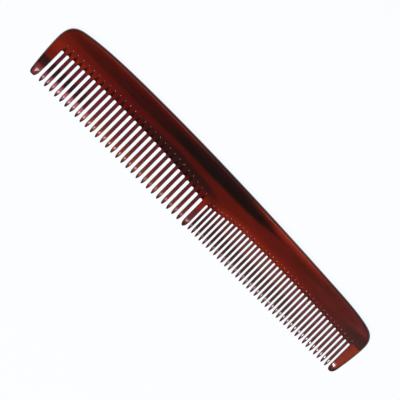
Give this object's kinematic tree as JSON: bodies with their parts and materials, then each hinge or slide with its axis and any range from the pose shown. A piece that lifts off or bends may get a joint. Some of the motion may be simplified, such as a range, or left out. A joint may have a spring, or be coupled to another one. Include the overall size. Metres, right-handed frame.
{
  "type": "hair comb",
  "caption": "Flat dressing comb with a curved back, coarse teeth on one half and fine teeth on the other, a thick divider tooth between them and a guard tooth at each end.",
  "frame": {"origin": "centre of the comb's footprint, on the lower face that it rests on", "axes": "+X from the coarse end to the fine end, +Y from the tooth tips to the back, +Z from the lower face to the upper face"},
  "size_m": [0.19, 0.0322, 0.0045],
  "materials": {
    "back": "polished tortoiseshell acetate, dark streaks in red-brown",
    "coarse_teeth": "polished tortoiseshell acetate, red-brown to orange-brown",
    "fine_teeth": "polished tortoiseshell acetate, dark red-brown",
    "guards": "polished tortoiseshell acetate, orange-brown with dark tips"
  },
  "bodies": {
    "root": {"comb_back": "back", "coarse_end_guard": "guards", "fine_end_guard": "guards", "divider_tooth": "guards", "coarse_tooth_01": "coarse_teeth", "coarse_tooth_02": "coarse_teeth", "coarse_tooth_03": "coarse_teeth", "coarse_tooth_04": "coarse_teeth", "coarse_tooth_05": "coarse_teeth", "coarse_tooth_06": "coarse_teeth", "coarse_tooth_07": "coarse_teeth", "coarse_tooth_08": "coarse_teeth", "coarse_tooth_09": "coarse_teeth", "coarse_tooth_10": "coarse_teeth", "coarse_tooth_11": "coarse_teeth", "coarse_tooth_12": "coarse_teeth", "coarse_tooth_13": "coarse_teeth", "coarse_tooth_14": "coarse_teeth", "coarse_tooth_15": "coarse_teeth", "coarse_tooth_16": "coarse_teeth", "coarse_tooth_17": "coarse_teeth", "coarse_tooth_18": "coarse_teeth", "coarse_tooth_19": "coarse_teeth", "coarse_tooth_20": "coarse_teeth", "coarse_tooth_21": "coarse_teeth", "coarse_tooth_22": "coarse_teeth", "coarse_tooth_23": "coarse_teeth", "coarse_tooth_24": "coarse_teeth", "coarse_tooth_25": "coarse_teeth", "coarse_tooth_26": "coarse_teeth", "coarse_tooth_27": "coarse_teeth", "coarse_tooth_28": "coarse_teeth", "fine_teeth_01_02": "fine_teeth", "fine_teeth_03_04": "fine_teeth", "fine_teeth_05_06": "fine_teeth", "fine_teeth_07_08": "fine_teeth", "fine_teeth_09_10": "fine_teeth", "fine_teeth_11_12": "fine_teeth", "fine_teeth_13_14": "fine_teeth", "fine_teeth_15_16": "fine_teeth", "fine_teeth_17_18": "fine_teeth", "fine_teeth_19_20": "fine_teeth", "fine_teeth_21_22": "fine_teeth", "fine_teeth_23_24": "fine_teeth", "fine_teeth_25_26": "fine_teeth", "fine_teeth_27_28": "fine_teeth", "fine_teeth_29_30": "fine_teeth", "fine_teeth_31_32": "fine_teeth", "fine_teeth_33_34": "fine_teeth", "fine_teeth_35_36": "fine_teeth", "fine_teeth_37_38": "fine_teeth"}
  },
  "joints": []
}
